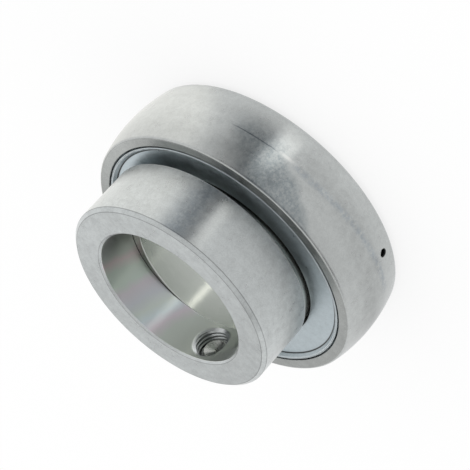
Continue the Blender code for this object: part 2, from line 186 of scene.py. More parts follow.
def cut_window(numbers, keep, low, high, middle, reach):
    """Mark a window's cells as left out of a closed grid, and return the numbers along its edge.

    The window lies between two rows and reaches as many columns to each side of its middle column. The
    edge runs from the lower left corner to the right and round.
    """
    left, right = middle - reach, middle + reach
    keep[min(low, high):max(low, high), left:right] = False
    step = 1 if high > low else -1
    rows = np.arange(low, high, step)
    return np.concatenate([numbers[low, left:right], numbers[rows, right],
                           numbers[high, right:left:-1], numbers[rows + step, left][::-1]])


class Hole:
    """Round level hole at a height, whose axis leaves a vertical axis at an angle."""

    def __init__(self, centre, angle, height):
        self.middle = np.array([*centre, 0.0])
        self.along = np.array([math.cos(angle), math.sin(angle), 0.0])
        self.across = np.array([-math.sin(angle), math.cos(angle), 0.0])
        self.height = height

    def places(self, out, side, rise):
        """Points at distances out along the hole's axis, to the side of it and above it."""
        out, side, rise = (np.asarray(part)[..., None] for part in (out, side, rise))
        return self.middle + out * self.along + side * self.across + (self.height + rise) * UP

    def round_turn(self, count):
        """Angles of a ring of points round the hole, from the lower left corner of its window."""
        return -0.75 * math.pi + math.tau * np.arange(count) / count

    def wall(self, radius, out, turn):
        """Points round the hole: radius times the cosine of the turn aside, and times its sine up."""
        return self.places(out, radius * np.cos(turn), radius * np.sin(turn))

    def rim(self, shell, edge, radius, rim_radius, bulge=0.0, flip=False, rings=5):
        """Close the surface from a window's edge to the round rim of the hole, and return the rim.

        Seen along the hole, each ring of points is the window's edge moved a share of the way to the rim
        circle. Each point is then lifted along the hole to the surface, whose radius squared falls by
        bulge times the square of the distance from the ring's mid height: 0 for a cylinder, 1 for a
        sphere.
        """
        points = np.concatenate(shell.points)[edge] - self.middle
        turn = self.round_turn(len(edge))
        share = np.linspace(0, 1, rings + 1)[1:, None] ** 0.8
        side = (1 - share) * (points @ self.across) + share * rim_radius * np.cos(turn)
        rise = (1 - share) * (points[:, 2] - self.height) + share * rim_radius * np.sin(turn)
        drop = bulge * (self.height + rise - RING_MID_Z) ** 2
        numbers = shell.add(self.places(np.sqrt(radius**2 - drop - side**2), side, rise))
        shell.join(edge, numbers, flip=flip)
        return numbers[-1]


def outer_section():
    """Half of the ring's section above its mid plane: sphere, face, seal seat, groove, land, raceway."""
    edge = math.sqrt(RACE_RADIUS**2 - (OUTER_LAND_RADIUS - PITCH_RADIUS) ** 2)
    race_angle = math.asin(edge / RACE_RADIUS)
    rim = math.sqrt(SPHERE_RADIUS**2 - RING_HALF_WIDTH**2)
    sphere = arc_line((0, 0), SPHERE_RADIUS, 0, SPHERE_END, SPHERE_ROWS)
    steps = rounded_line([
        (*sphere[-1, :2], 0),
        (rim, RING_HALF_WIDTH, 0.8 * MM),
        (SEAL_SEAT_RADIUS, RING_HALF_WIDTH, 0.18 * MM),
        (SEAL_SEAT_RADIUS, SNAP_GROOVE_TOP, 0.08 * MM),
        (SNAP_GROOVE_RADIUS, SNAP_GROOVE_TOP, 0.12 * MM),
        (SNAP_GROOVE_RADIUS, SNAP_GROOVE_FLOOR, 0.12 * MM),
        (OUTER_LAND_RADIUS, SNAP_GROOVE_FLOOR, 0.15 * MM),
        (OUTER_LAND_RADIUS, edge, 0),
    ], support=0.15, wear_and_shade=0.2)
    heights = np.linspace(OUTER_LAND_TOP, OUTER_LAND_END, LAND_ROWS + 1)
    land = flat_line([(OUTER_LAND_RADIUS, z) for z in heights])
    race = arc_line((PITCH_RADIUS, 0), RACE_RADIUS, race_angle, 0, 14)
    return np.concatenate([sphere, steps, land, race]), len(sphere) + len(steps)


def make_outer_ring(look):
    """Outer ring with its lubrication hole led through the wall."""
    upper, land_first = outer_section()
    line = np.concatenate([upper[:-1], mirrored(upper)[:-1]]) + [0, RING_MID_Z, 0]
    shell = Shell()
    numbers = spun(shell, line, RING_COLUMNS, start=LUBE_ANGLE - math.pi)
    middle = RING_COLUMNS // 2
    centre_row = len(line) - round(math.asin(-LUBE_HEIGHT / SPHERE_RADIUS) / SPHERE_END * SPHERE_ROWS)
    land_low = len(line) - land_first
    keep = np.ones(numbers.shape, bool)
    outer_edge = cut_window(numbers, keep, centre_row - LUBE_WINDOW, centre_row + LUBE_WINDOW, middle,
                            LUBE_WINDOW)
    inner_edge = cut_window(numbers, keep, land_low, land_low - LAND_ROWS, middle, LUBE_WINDOW)
    shell.join(numbers, closed=True, keep=keep)
    hole = Hole((0, 0), LUBE_ANGLE, RING_MID_Z + LUBE_HEIGHT)
    rim = hole.rim(shell, outer_edge, SPHERE_RADIUS, LUBE_RIM_RADIUS, bulge=1.0)
    duct = hole.rim(shell, inner_edge, OUTER_LAND_RADIUS, LUBE_DUCT_RADIUS, flip=True)
    surface = math.sqrt(SPHERE_RADIUS**2 - LUBE_HEIGHT**2)
    bore = np.array([
        (LUBE_RIM_RADIUS - 0.03 * MM, surface - 0.06 * MM),
        (LUBE_RADIUS + 0.04 * MM, surface - 0.25 * MM),
        (LUBE_RADIUS, surface - 0.35 * MM),
        (LUBE_RADIUS, surface - 2.5 * MM),
        (LUBE_RADIUS, OUTER_LAND_RADIUS + 0.8 * MM),
        (LUBE_DUCT_RADIUS, OUTER_LAND_RADIUS + 0.6 * MM),
        (LUBE_DUCT_RADIUS, OUTER_LAND_RADIUS + 0.1 * MM),
    ])
    # Painted shade inside the lubrication hole: its wall is marked -1 in the edge channel.
    tube = shell.add(hole.wall(bore[:, :1], bore[:, 1:], hole.round_turn(len(outer_edge))), -1.0)
    shell.join(rim, tube, duct)
    return shell.piece("outer_ring_ground", look)


class Field:
    """A value that changes over a surface: the socket that gives it, ready for sums and products."""

    def __init__(self, socket):
        self.socket = socket

    def math(self, operation, *others, clamp=False):
        """Result of a Math node on this field and on values or other fields."""
        return add_field(self.socket.id_data, "Math", dict(enumerate((self, *others))),
                         operation=operation, use_clamp=clamp)

    def __add__(self, other):
        return self.math("ADD", other)

    def __sub__(self, other):
        return self.math("SUBTRACT", other)

    def __rsub__(self, other):
        return self.math("MULTIPLY_ADD", -1.0, other)

    def __mul__(self, other):
        return self.math("MULTIPLY", other)

    def between(self, low, high, to_low=0.0, to_high=1.0, smooth=True):
        """The field taken from the range low to high to another range, with soft ends."""
        return add_field(self.socket.id_data, "MapRange",
                         {"Value": self, "From Min": low, "From Max": high, "To Min": to_low,
                          "To Max": to_high}, interpolation_type="SMOOTHSTEP" if smooth else "LINEAR")


def feed(node, values):
    """Give a node's inputs their values and colours, or link them to fields."""
    for name, value in values.items():
        entry = node.inputs[name]
        if isinstance(value, Field):
            entry.id_data.links.new(value.socket, entry)
        else:
            entry.default_value = (*value, 1.0) if entry.type == "RGBA" else value


def fields(node):
    """The outputs of a node as fields, by name."""
    return {socket.name: Field(socket) for socket in node.outputs}


def add_node(tree, kind, values=None, **settings):
    """Add a shader node with its settings, and feed its inputs."""
    made = tree.nodes.new("ShaderNode" + kind)
    for name, value in settings.items():
        setattr(made, name, value)
    feed(made, values or {})
    return made


def add_field(tree, kind, values=None, **settings):
    """Add a shader node and return its first output as a field."""
    return Field(add_node(tree, kind, values, **settings).outputs[0])


def new_group(name, inputs, outputs):
    """Empty shader group with float inputs, their usual values and float outputs."""
    group = bpy.data.node_groups.new(name, "ShaderNodeTree")
    for label, value in inputs.items():
        socket = group.interface.new_socket(label, in_out="INPUT", socket_type="NodeSocketFloat")
        socket.default_value = value
    for label in outputs:
        group.interface.new_socket(label, in_out="OUTPUT", socket_type="NodeSocketFloat")
    return group, fields(group.nodes.new("NodeGroupInput")), group.nodes.new("NodeGroupOutput")


def place_group(tree, group, values=None):
    """Place a shader group in a material with its own values, and return its outputs as fields."""
    return fields(add_node(tree, "Group", values, node_tree=group))


def make_axis_group():
    """Where a point lies about a vertical axis: its distance, its height and its direction."""
    group, entry, leave = new_group("about_axis", {"Centre X": 0.0, "Centre Y": 0.0},
                                    ["Distance", "Height", "Cosine", "Sine", "Degrees"])
    place = fields(add_node(group, "SeparateXYZ", {0: fields(add_node(group, "TexCoord"))["Object"]}))
    x = place["X"] - entry["Centre X"]
    y = place["Y"] - entry["Centre Y"]
    distance = (x * x + y * y).math("SQRT").math("MAXIMUM", 0.01 * MM)
    feed(leave, {"Distance": distance, "Height": place["Z"], "Cosine": x.math("DIVIDE", distance),
                 "Sine": y.math("DIVIDE", distance), "Degrees": y.math("ARCTAN2", x).math("DEGREES")})
    return group


def centred(centre, **values):
    """A shader group's values for a centre, and others."""
    return {"Centre X": centre[0], "Centre Y": centre[1], **values}


def around(tree, centre=(0.0, 0.0)):
    """Place the axis group about a centre."""
    return place_group(tree, axis_group, centred(centre))


def noise(tree, place, seed, scale, detail, roughness):
    """Noise read at a place and a seed."""
    return add_field(tree, "TexNoise", {"Vector": place, "W": seed, "Scale": scale, "Detail": detail,
                                        "Roughness": roughness}, noise_dimensions="4D")


def make_lay_group():
    """Tool marks of turning and grinding: fine lines that run round the axis.

    Noise is read at (distance / pitch, height / pitch) and slowly along the direction round the axis,
    so that it is fine across the marks and long along them, on cylinders and on flat faces alike.
    """
    group, entry, leave = new_group(
        "tool_lay", {"Centre X": 0.0, "Centre Y": 0.0, "Pitch": 0.2 * MM, "Length": 4.0}, ["Lines", "Bands"])
    about = around(group, (entry["Centre X"], entry["Centre Y"]))
    place = add_field(group, "CombineXYZ", {0: about["Distance"].math("DIVIDE", entry["Pitch"]),
                                            1: about["Height"].math("DIVIDE", entry["Pitch"]),
                                            2: about["Cosine"] * entry["Length"]})
    sine = about["Sine"] * entry["Length"]
    feed(leave, {"Lines": noise(group, place, sine, 1.0, 2.0, 0.6),
                 "Bands": noise(group, place, sine, 0.12, 2.0, 0.5)})
    return group


def make_mottle_group():
    """Cloudy finish of handled, oiled steel: soft clouds, and specks and grain inside them."""
    group, entry, leave = new_group(
        "mottle", {"Cloud Size": 6 * MM, "Speck Size": 0.6 * MM, "Grain Size": 0.3 * MM, "Seed": 0.0},
        ["Clouds", "Specks", "Grains"])
    place = fields(add_node(group, "TexCoord"))["Object"]
    for kind, detail in (("Cloud", 3.0), ("Speck", 2.0), ("Grain", 1.0)):
        scale = entry[kind + " Size"].math("POWER", -1.0)
        feed(leave, {kind + "s": noise(group, place, entry["Seed"], scale, detail, 0.55)})
    return group


def mottled(tree, cloud, speck, grain, seed):
    """Place the mottle group with its three sizes."""
    return place_group(tree, mottle_group, {"Cloud Size": cloud, "Speck Size": speck, "Grain Size": grain,
                                            "Seed": seed})


def make_wear_and_shade_group():
    """Masks from the edge channel: bright where rubbed or given a painted highlight, painted shade where
    marked below 0, matt where tumbled.
    """
    group, entry, leave = new_group("edge_wear_and_shade", {"Rubbing And Sheen": 0.25}, ["Bright", "Painted Shade", "Matt"])
    wear_and_shade = fields(add_node(group, "Attribute", attribute_name="wear_and_shade"))["Fac"]
    feed(leave, {"Bright": wear_and_shade.math("MULTIPLY", entry["Rubbing And Sheen"], clamp=True),
                 "Painted Shade": wear_and_shade.math("MULTIPLY", -1.0, clamp=True),
                 "Matt": wear_and_shade.math("SUBTRACT", 1.0, clamp=True)})
    return group


def make_dark_reflection_group():
    """Mask of a painted dark reflection: a mottled dark streak on the outside at a radius, between two
    angles round the axis.

    Above the ring's mid height the first angle falls by widening degrees per millimetre, and the last
    angle by half as much. The streak grows from nothing at low to full at high, counted from there.
    """
    group, entry, leave = new_group(
        "painted_dark_reflection", {"Centre X": 0.0, "Centre Y": 0.0, "Radius": 0.0, "First": 0.0,
                      "Last": 0.0, "Widening": 0.0, "Low": -8 * MM, "High": 1 * MM, "Seed": 0.0}, ["Dark Reflection"])
    about = around(group, (entry["Centre X"], entry["Centre Y"]))
    spots = mottled(group, 4 * MM, 0.9 * MM, 0.4 * MM, entry["Seed"])
    turn = about["Degrees"] + spots["Clouds"] * 10.0 - 5.0
    above = about["Height"] - RING_MID_Z
    raised = above.math("MAXIMUM", 0.0) * (1.0 / MM) * entry["Widening"]
    share = ((turn + raised - entry["First"]).between(-4, 4)
             * (turn + raised * 0.5 - entry["Last"]).between(6, -6)
             * above.between(entry["Low"], entry["High"]))
    spotted = spots["Specks"].between(0.36, 0.62) * 0.35 + spots["Grains"].between(0.4, 0.6) * 0.15 + 0.5
    outside = (about["Distance"] - entry["Radius"]).between(-0.3 * MM, 0.0)
    feed(leave, {"Dark Reflection": share * spotted * outside})
    return group


axis_group = make_axis_group()
lay_group = make_lay_group()
mottle_group = make_mottle_group()
wear_and_shade_group = make_wear_and_shade_group()
dark_reflection_group = make_dark_reflection_group()


def mix_colour(tree, share, first, second, blend="MIX"):
    """Colour between two, by a share. The Mix node's colour sockets have numbers, as names repeat."""
    made = add_node(tree, "Mix", data_type="RGBA", blend_type=blend)
    feed(made, {0: share, 6: first, 7: second})
    return Field(made.outputs[2])


def relief(height, strength, distance, under=None):
    """Surface direction bent by a field of heights, on top of what bends it already."""
    values = {"Height": height, "Strength": strength, "Distance": distance}
    if under:
        values["Normal"] = under
    return add_field(height.socket.id_data, "Bump", values)


def height_share(height, low, high):
    """1 between two heights, with soft ends of a tenth of a millimetre."""
    soft = 0.05 * MM
    return height.between(low - soft, low + soft) * height.between(high + soft, high - soft)


def new_look(name):
    """New material with a shader that is yet to be fed."""
    made = bpy.data.materials.new(name)
    made.use_nodes = True
    return made


def finish_look(look, values):
    """Feed the shader of a material."""
    feed(look.node_tree.nodes["Principled BSDF"], values)


def fed_by(look, name):
    """The field that feeds an input of a material's shader."""
    return Field(look.node_tree.nodes["Principled BSDF"].inputs[name].links[0].from_socket)


def repaint(look, share, colour, blend="MULTIPLY"):
    """Blend a colour over what already feeds the base colour, by a share."""
    painted = mix_colour(look.node_tree, share, fed_by(look, "Base Color"), colour, blend)
    finish_look(look, {"Base Color": painted})


# Bright steel for rubbed edges and for painted highlight; near black for painted shade in creases, holes,
# thread roots and along edges.
RUBBED_STEEL_AND_SHEEN = (0.70, 0.71, 0.71)
PAINTED_SHADE_DARK = (0.03, 0.032, 0.032)


def steel_look(name, colour, roughness, pitch, anisotropy, seed, centre=(0, 0), lay_relief=0.2,
               waviness=0.0, speckle=1.0, clouding=1.0):
    """Machined steel whose colour, roughness and relief vary with clouds, specks, tool lay, worn edges, and
    painted highlight and shade.

    Round the axis the lay smears reflections along the axis, so anisotropy is turned a quarter from
    the tangent. Grey tone is a sum of clouds, specks, grain and bands of the lay, of about 1 in all.
    """
    made = new_look(name)
    tree = made.node_tree
    lay = place_group(tree, lay_group, centred(centre, Pitch=pitch))
    mottle = mottled(tree, 4.5 * MM, 1.5 * MM, 0.35 * MM, seed)
    tone = (mottle["Clouds"].between(0.35, 0.65) * (0.05 * clouding)
            + mottle["Specks"].between(0.3, 0.7) * (0.10 * speckle)
            + mottle["Grains"].between(0.3, 0.7) * (0.09 * speckle)
            + lay["Bands"].between(0.3, 0.7) * 0.04
            + (0.98 - 0.025 * clouding - 0.095 * speckle))
    grey = add_field(tree, "CombineColor", {0: tone, 1: tone, 2: tone})
    wear_and_shade = place_group(tree, wear_and_shade_group)
    base = mix_colour(tree, 1.0, grey, colour, "MULTIPLY")
    # Edges brighten where rubbed or given painted highlight, and darken where given painted shade.
    base = mix_colour(tree, wear_and_shade["Bright"], base, RUBBED_STEEL_AND_SHEEN)
    base = mix_colour(tree, wear_and_shade["Painted Shade"], base, PAINTED_SHADE_DARK)
    cloud_share = 0.14 * min(clouding, 1.0)
    speck_share = 0.16 * min(speckle, 1.0)
    rough = (mottle["Clouds"] * cloud_share + mottle["Specks"] * speck_share + wear_and_shade["Matt"] * 0.3
             + (roughness - cloud_share / 2 - speck_share / 2))
    waves = relief(mottle["Clouds"], waviness, 0.03 * MM)
    finish_look(made, {
        "Base Color": base, "Metallic": 1.0, "Roughness": rough,
        "Normal": relief(lay["Lines"], lay_relief, 0.02 * MM, waves),
        "Anisotropic": anisotropy, "Anisotropic Rotation": 0.25,
        "Tangent": add_field(tree, "Tangent", direction_type="RADIAL", axis="Z"),
    })
    return made


def paint_dark_reflection(look, colour, centre=(0, 0), **values):
    """Paint a streak of painted dark reflection of a colour on a material."""
    mask = place_group(look.node_tree, dark_reflection_group, centred(centre, **values))["Dark Reflection"]
    repaint(look, mask, colour)


def ring_marks(look, about):
    """Handling marks of the outer ring: a dark scratch, a rub beside it, and a thin bluish stain.

    Each is a line at a height that depends on the angle round the ring, blurred by noise.
    """
    turn = about["Degrees"]
    wander = mottled(look.node_tree, 4 * MM, 0.9 * MM, 0.3 * MM, 9.0)
    height = about["Height"] + wander["Clouds"] * (0.6 * MM) - 0.3 * MM

    def line_share(level, wide, narrow, first, last):
        """1 on a line at a height, fading out beside it and at both ends."""
        off = (height - level).math("ABSOLUTE")
        ends = turn.between(first - 3, first + 3) * turn.between(last + 3, last - 3)
        return off.between(wide, narrow) * ends

    sunk = ((-95.0 - turn) * (0.068 * MM)).math("MAXIMUM", 0.0)
    thin_line = line_share(RING_MID_Z - sunk, 1.6 * MM, 0.1 * MM, -153, -88)
    thin_line = thin_line * wander["Specks"].between(0.35, 0.6)
    scratch = line_share(RING_MID_Z - 0.1 * MM, 0.26 * MM, 0.08 * MM, -79, -62)
    rub = line_share(RING_MID_Z - 0.5 * MM, 0.8 * MM, 0.1 * MM, -87, -82)
    repaint(look, thin_line * 0.7, (0.74, 0.79, 0.86))
    repaint(look, scratch * 0.8, (0.35, 0.37, 0.40))
    repaint(look, rub * 0.5, (0.80, 0.80, 0.78), "MIX")


ring_steel = steel_look(
    "ring_steel_ground", (0.525, 0.545, 0.54), 0.31, 0.22 * MM, 0.9, 1.0, waviness=0.8,
    speckle=1.1, clouding=1.5)
ring_about = around(ring_steel.node_tree)
outside_share = height_share(ring_about["Height"], RING_MID_Z - RING_HALF_WIDTH + 0.07 * MM,
                             RING_MID_Z + RING_HALF_WIDTH - 0.07 * MM)
face_share = 1.0 - outside_share
front_shade_share = ring_about["Height"].between(RING_MID_Z - 1.0 * MM, RING_MID_Z + 9.0 * MM)
repaint(ring_steel, face_share, (0.65, 0.65, 0.64))
finish_look(ring_steel, {"Roughness": fed_by(ring_steel, "Roughness") + face_share * -0.12})
# Painted dark reflections on the outer ring's outside: a streak that widens towards the front, and a darker
# patch at the front.
paint_dark_reflection(ring_steel, (0.54, 0.58, 0.61), Radius=41.1 * MM, First=-84, Last=-63, Seed=10.0, Widening=2.2)
paint_dark_reflection(ring_steel, (0.60, 0.62, 0.64), Radius=41.1 * MM, First=-86, Last=-75, Seed=12.0, Low=2 * MM,
      High=8 * MM)
# Painted shade: the outer ring darker towards its front face.
repaint(ring_steel, front_shade_share, (0.89, 0.89, 0.89))
ring_marks(ring_steel, ring_about)
outer_ring = make_outer_ring(ring_steel)
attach(outer_ring, "outer_body")
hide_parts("outer_ring")

# Balls: nine 12.7 mm balls of through-hardened steel, lapped to a mirror, spaced on the pitch circle by
# the cage.
BALL_RADIUS = 6.35 * MM
BALL_COUNT = 9
BALL_COLUMNS = 48
BALL_ROWS = 24

ball_steel = steel_look("ball_steel_lapped", (0.62, 0.63, 0.63), 0.14, 0.4 * MM, 0.0, 2.0, lay_relief=0.0)


def make_ball(name, centre, look):
    """Sphere on latitude rows: centre plus radius times (cos lat cos lon, cos lat sin lon, sin lat)."""
    latitude = np.linspace(-math.pi / 2, math.pi / 2, BALL_ROWS + 1)[1:-1, None]
    longitude = math.tau * np.arange(BALL_COLUMNS) / BALL_COLUMNS
    unit = np.stack([np.cos(latitude) * np.cos(longitude), np.cos(latitude) * np.sin(longitude),
                     np.broadcast_to(np.sin(latitude), (BALL_ROWS - 1, BALL_COLUMNS))], axis=2)
    shell = Shell()
    numbers = shell.add(centre + BALL_RADIUS * unit)
    shell.join(numbers)
    shell.pole(numbers[-1], centre + BALL_RADIUS * UP)
    shell.pole(numbers[0], centre - BALL_RADIUS * UP, flip=True)
    return shell.piece(name, look)


for index in range(BALL_COUNT):
    turn = math.tau * index / BALL_COUNT
    centre = np.array([PITCH_RADIUS * math.cos(turn), PITCH_RADIUS * math.sin(turn), RING_MID_Z])
    ball = make_ball(f"ball_lapped_{index + 1}", centre, ball_steel)
    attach(ball, f"ball_body_{index + 1}")
    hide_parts(f"ball_{index + 1}")

# Cage: two ribbons of sheet steel, each pressed with a round pocket over every ball, and held together
# between the balls by nine rivets.
cage_steel = steel_look("cage_steel_pressed", (0.42, 0.43, 0.44), 0.42, 0.5 * MM, 0.0, 3.0)
for name in ["cage_front", "cage_back"] + [f"cage_rivet_{index + 1}" for index in range(BALL_COUNT)]:
    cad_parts[name].material_slots[0].material = cage_steel

# Seals, one at each face: a zinc-plated sheet-steel shield whose bead snaps into the ring's groove, a
# rubber lip that runs on the inner ring, and a thin steel washer behind the lip.
SHIELD_SEAT_RADIUS = 38.2 * MM
SHIELD_SEAT_DEPTH = 2.7 * MM
SHIELD_RIM_RADIUS = 37.4 * MM
SHIELD_RIM_DEPTH = 0.05 * MM
SHIELD_CREASE_RADIUS = 36.0 * MM
SHIELD_CREASE_DEPTH = 1.1 * MM
SHIELD_BORE_RADIUS = 28.4 * MM
SHIELD_BORE_DEPTH = 0.7 * MM
SHIELD_SHEET = 0.6 * MM
LIP_RADIUS = 27.9 * MM
SEAL_OUTER_RADIUS = 35.4 * MM
SEAL_INNER_RADIUS = 29.8 * MM
SEAL_COLUMNS = 240


def shield_depth(radius):
    """Depth of the shield's outer surface below the ring's face, straight from crease to bore."""
    share = (SHIELD_CREASE_RADIUS - radius) / (SHIELD_CREASE_RADIUS - SHIELD_BORE_RADIUS)
    return SHIELD_CREASE_DEPTH + share * (SHIELD_BORE_DEPTH - SHIELD_CREASE_DEPTH)


def sided_line(corners, side, shaded_arcs):
    """Closed line from corners (radius, depth below the face, fillet) on the front (1) or back (-1)."""
    line = [(radius, -depth, fillet) for radius, depth, fillet in corners]
    line = rounded_line([line[-1], *line, line[0]], shaded_arcs=shaded_arcs, shade_level=-1.0)
    line = line + [0, RING_HALF_WIDTH, 0]
    line = line if side > 0 else mirrored(line)
    return line + [0, RING_MID_Z, 0]


shield_corners = [
    (SHIELD_SEAT_RADIUS, SHIELD_SEAT_DEPTH, 0.1 * MM),
    (SHIELD_SEAT_RADIUS, 2.1 * MM, 0.15 * MM),
    (SHIELD_RIM_RADIUS, 1.8 * MM, 0.2 * MM),
    (SHIELD_RIM_RADIUS, SHIELD_RIM_DEPTH, 0.2 * MM),
    (SHIELD_RIM_RADIUS - 0.55 * MM, SHIELD_RIM_DEPTH, 0.3 * MM),
    (SHIELD_CREASE_RADIUS, SHIELD_CREASE_DEPTH, 0.3 * MM),
    (SHIELD_BORE_RADIUS, SHIELD_BORE_DEPTH, 0.12 * MM),
    (SHIELD_BORE_RADIUS, SHIELD_BORE_DEPTH + SHIELD_SHEET, 0.08 * MM),
    (SHIELD_CREASE_RADIUS - 0.3 * MM, SHIELD_CREASE_DEPTH + SHIELD_SHEET, 0.3 * MM),
    (SHIELD_CREASE_RADIUS + 0.3 * MM, SHIELD_SEAT_DEPTH, 0.2 * MM),
]
lip_outer = shield_depth(SEAL_OUTER_RADIUS) + SHIELD_SHEET + 0.3 * MM
lip_inner = shield_depth(SEAL_INNER_RADIUS) + SHIELD_SHEET + 0.3 * MM
lip_corners = [
    (SEAL_OUTER_RADIUS, lip_outer + 0.5 * MM, 0.1 * MM),
    (SEAL_OUTER_RADIUS, lip_outer, 0.1 * MM),
    (SEAL_INNER_RADIUS, lip_inner, 0.3 * MM),
    (LIP_RADIUS, lip_inner + 0.5 * MM, 0.05 * MM),
    (LIP_RADIUS, lip_inner + 0.7 * MM, 0.05 * MM),
    (SEAL_INNER_RADIUS, lip_inner + 0.5 * MM, 0.3 * MM),
]
washer_corners = [
    (SEAL_OUTER_RADIUS, lip_outer + 1.3 * MM, 0.1 * MM),
    (SEAL_OUTER_RADIUS, lip_outer + 0.8 * MM, 0.1 * MM),
    (SEAL_INNER_RADIUS, lip_inner + 0.8 * MM, 0.1 * MM),
    (SEAL_INNER_RADIUS, lip_inner + 1.3 * MM, 0.1 * MM),
]


def make_rubber():
    """Black nitrile rubber, matt, with a fine moulded grain."""
    made = new_look("seal_rubber_moulded")
    mottle = mottled(made.node_tree, 4 * MM, 0.3 * MM, 0.1 * MM, 5.0)
    black = mix_colour(made.node_tree, mottle["Clouds"], (0.012, 0.012, 0.013), (0.028, 0.028, 0.03))
    finish_look(made, {"Base Color": black, "Roughness": mottle["Specks"] * 0.2 + 0.5,
                       "Normal": relief(mottle["Specks"], 0.3, 0.02 * MM)})
    return made


zinc_sheet = steel_look("zinc_plated_sheet", (0.41, 0.465, 0.49), 0.32, 0.3 * MM, 0.6, 4.0, lay_relief=0.1)
seal_rubber = make_rubber()
for side, word in ((1, "front"), (-1, "back")):
    # The shield's crease, its arc 5, is painted dark as shade.
    for kind, corners, look, slot_name, shaded_arcs in (
        ("shield", shield_corners, zinc_sheet, "zinc_sheet", (5,)),
        ("seal_lip", lip_corners, seal_rubber, "seal_rubber", ()),
        ("seal_washer", washer_corners, cage_steel, "cage_steel", ()),
    ):
        shell = Shell()
        shell.join(spun(shell, sided_line(corners, side, shaded_arcs), SEAL_COLUMNS), closed=True)
        seal_piece = shell.piece(f"{word}_{kind}_formed", look)
        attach(seal_piece, "outer_body")
        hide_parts(f"{word}_{kind}")

# Inner ring: bearing steel, ground, longer than the outer ring. Above its front shoulder a short stub is
# turned off centre, as the eccentric seat of the locking collar.
BORE_RADIUS = 22.5 * MM
INNER_LAND_RADIUS = 27.6 * MM
SHOULDER_Z = 24.6 * MM
STUB_TOP_Z = 30.2 * MM
STUB_RADIUS = 25.8 * MM
STUB_CENTRE = (1.36602 * MM, 0.61966 * MM)


def make_inner_ring(look):
    """Inner ring, turned in three chains: bore and lands about the bore's axis, the stub about its own."""
    reach = math.acos((PITCH_RADIUS - INNER_LAND_RADIUS) / RACE_RADIUS)
    race = arc_line((PITCH_RADIUS, RING_MID_Z), RACE_RADIUS, math.pi + reach, math.pi - reach, 24)
    lower = rounded_line([
        (BORE_RADIUS, 3.0 * MM, 0),
        (BORE_RADIUS, 0.6 * MM, 0.15 * MM),
        (BORE_RADIUS + 0.6 * MM, 0, 0.1 * MM),
        (INNER_LAND_RADIUS - 0.6 * MM, 0, 0.1 * MM),
        (INNER_LAND_RADIUS, 0.6 * MM, 0.15 * MM),
        (INNER_LAND_RADIUS, 3.0 * MM, 0),
    ])
    shoulder = rounded_line([
        (INNER_LAND_RADIUS, SHOULDER_Z - 3.0 * MM, 0),
        (INNER_LAND_RADIUS, SHOULDER_Z, 0.2 * MM),
        (INNER_LAND_RADIUS - 2.0 * MM, SHOULDER_Z, 0),
    ])
    stub = rounded_line([
        (STUB_RADIUS + 0.5 * MM, SHOULDER_Z, 0),
        (STUB_RADIUS, SHOULDER_Z, 0.08 * MM),
        (STUB_RADIUS, STUB_TOP_Z - 0.4 * MM, 0.15 * MM),
        (STUB_RADIUS - 0.4 * MM, STUB_TOP_Z, 0.1 * MM),
        (BORE_RADIUS + 1.0 * MM, STUB_TOP_Z, 0),
    ])
    top = rounded_line([
        (STUB_RADIUS, STUB_TOP_Z, 0),
        (BORE_RADIUS + 0.2 * MM, STUB_TOP_Z, 0.08 * MM),
        (BORE_RADIUS, STUB_TOP_Z - 0.2 * MM, 0.08 * MM),
        (BORE_RADIUS, 3.0 * MM, 0),
    ], wear_and_shade=0.3)
    bore = flat_line([(BORE_RADIUS, z) for z in np.linspace(28.5 * MM, 2.5 * MM, 12)])
    shell = Shell()
    numbers = np.concatenate([
        spun(shell, np.concatenate([lower, race, shoulder]), RING_COLUMNS),
        spun(shell, stub, RING_COLUMNS, STUB_CENTRE),
        spun(shell, np.concatenate([top, bore]), RING_COLUMNS),
    ])
    shell.join(numbers, closed=True)
    return shell.piece("inner_ring_ground", look)


inner_steel = steel_look(
    "inner_ring_steel_ground", (0.59, 0.615, 0.585), 0.25, 0.25 * MM, 0.85, 6.0, lay_relief=0.05,
    speckle=0.2, clouding=0.2)
inner_height = around(inner_steel.node_tree)["Height"]
end_face_shade = height_share(inner_height, STUB_TOP_Z - 0.05 * MM, STUB_TOP_Z + 1.0 * MM)
# Painted shade on the inner ring's end face, which lies under the collar.
repaint(inner_steel, end_face_shade, (0.62, 0.61, 0.58))
inner_ring = make_inner_ring(inner_steel)
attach(inner_ring, "inner_body")
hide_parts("inner_ring")

# Locking collar: one turned ring of free-cutting steel that sits on the inner ring's stub in an off-centre
# recess. A tapped hole through its wall takes the set screw, and a blind hole takes a drift.
COLLAR_CENTRE = (2.84503 * MM, 0.36948 * MM)
COLLAR_RADIUS = 31.5 * MM
COLLAR_BORE_RADIUS = 22.55 * MM
COLLAR_REAR_Z = 25.1 * MM
COLLAR_FRONT_Z = 43.7 * MM
RECESS_RADIUS = 26.05 * MM
RECESS_FLOOR_Z = 30.3 * MM
COLLAR_COLUMNS = 256
SCREW_ANGLE = math.radians(136.5)
SCREW_Z = 36.75 * MM
WINDOW_HALF = 5.7 * MM
WINDOW_STEPS = 24
THREAD_RIM_RADIUS = 5.45 * MM
THREAD_CREST_RADIUS = 4.5 * MM
THREAD_ROOT_RADIUS = 4.85 * MM
THREAD_LEAD_IN = 0.8 * MM
THREAD_PITCH = 1.25 * MM
THREAD_ROWS = 84
DRIFT_ANGLE = SCREW_ANGLE - math.pi / 2
DRIFT_RADIUS = 2.75 * MM
DRIFT_DEPTH = 4.0 * MM
DRIFT_WINDOW = 7

screw_hole = Hole(COLLAR_CENTRE, SCREW_ANGLE, SCREW_Z)
drift_hole = Hole(COLLAR_CENTRE, DRIFT_ANGLE, SCREW_Z)


def tooth(phase):
    """Thread form from 0 at the root to 1 at the crest, as a triangle wave with rounded ends."""
    wave = 2 * np.abs(phase - np.floor(phase) - 0.5)
    return wave * wave * (3 - 2 * wave)


